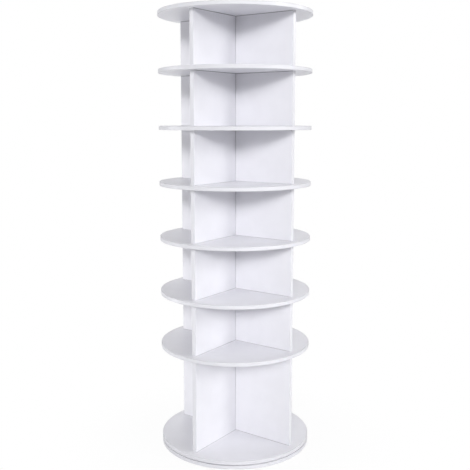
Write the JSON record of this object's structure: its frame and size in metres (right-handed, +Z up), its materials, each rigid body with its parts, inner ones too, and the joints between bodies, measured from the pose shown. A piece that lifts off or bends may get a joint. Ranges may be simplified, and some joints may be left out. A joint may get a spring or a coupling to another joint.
{
  "type": "rotating shoe tower",
  "caption": "Tall round shoe tower of stacked white shelf discs, quartered by crossed dividers, with a taller boot tier, turning on a ball-bearing base.",
  "frame": {"origin": "on the turning axis, at the floor under the pads", "axes": "+Z up along the turning axis; X and Y along the two dividers of each tier"},
  "size_m": [0.5999, 0.6, 1.7225],
  "materials": {
    "white_board": "satin white melamine facing on chipboard",
    "white_edging": "satin white plastic edging",
    "cap_plastic": "satin white",
    "pad_rubber": "matt dark grey",
    "ring_aluminium": "turned, bare",
    "ball_steel": "polished",
    "cage_nylon": "natural, moulded",
    "zinc_plated_steel": "bright zinc plate",
    "cam_zinc": "die-cast, dull",
    "dowel_beech": "bare fluted beech"
  },
  "bodies": {
    "base": {"base_disc": "white_board", "base_edge_band": "white_edging", "floor_pads": "pad_rubber", "bearing_lower_ring": "ring_aluminium", "bearing_lower_screws": "zinc_plated_steel"},
    "tower": {"bearing_upper_ring": "ring_aluminium", "bearing_upper_screws": "zinc_plated_steel", "turntable_disc": "white_board", "turntable_edge_band": "white_edging", "shelf_disc_1": "white_board", "shelf_disc_2": "white_board", "shelf_disc_3": "white_board", "shelf_disc_4": "white_board", "shelf_disc_5": "white_board", "shelf_disc_6": "white_board", "shelf_edge_band_1": "white_edging", "shelf_edge_band_2": "white_edging", "shelf_edge_band_3": "white_edging", "shelf_edge_band_4": "white_edging", "shelf_edge_band_5": "white_edging", "shelf_edge_band_6": "white_edging", "top_disc": "white_board", "top_edge_band": "white_edging", "tier_1_under_divider": "white_board", "tier_1_over_divider": "white_board", "tier_2_under_divider": "white_board", "tier_2_over_divider": "white_board", "tier_3_under_divider": "white_board", "tier_3_over_divider": "white_board", "tier_4_under_divider": "white_board", "tier_4_over_divider": "white_board", "tier_5_under_divider": "white_board", "tier_5_over_divider": "white_board", "tier_6_under_divider": "white_board", "tier_6_over_divider": "white_board", "tier_7_under_divider": "white_board", "tier_7_over_divider": "white_board", "tier_1_edge_strips": "white_edging", "tier_2_edge_strips": "white_edging", "tier_3_edge_strips": "white_edging", "tier_4_edge_strips": "white_edging", "tier_5_edge_strips": "white_edging", "tier_6_edge_strips": "white_edging", "tier_7_edge_strips": "white_edging", "cam_locks": "cam_zinc", "cam_cover_caps": "cap_plastic", "single_cam_bolts": "zinc_plated_steel", "double_cam_bolts": "zinc_plated_steel", "short_dowels": "dowel_beech", "long_dowels": "dowel_beech"},
    "ball_cage": {"bearing_cage": "cage_nylon", "bearing_balls": "ball_steel"}
  },
  "joints": [
    {"name": "turntable_spin", "type": "hinge", "parent": "base", "child": "tower", "pos_m": [0, 0, 0.0205], "axis": [0, 0, 1], "continuous": true},
    {"name": "cage_spin", "type": "hinge", "parent": "base", "child": "ball_cage", "pos_m": [0, 0, 0.016], "axis": [0, 0, 1], "continuous": true}
  ],
  "couplings": [
    {"joint": "cage_spin", "follows": "turntable_spin", "ratio": 0.49074}
  ]
}
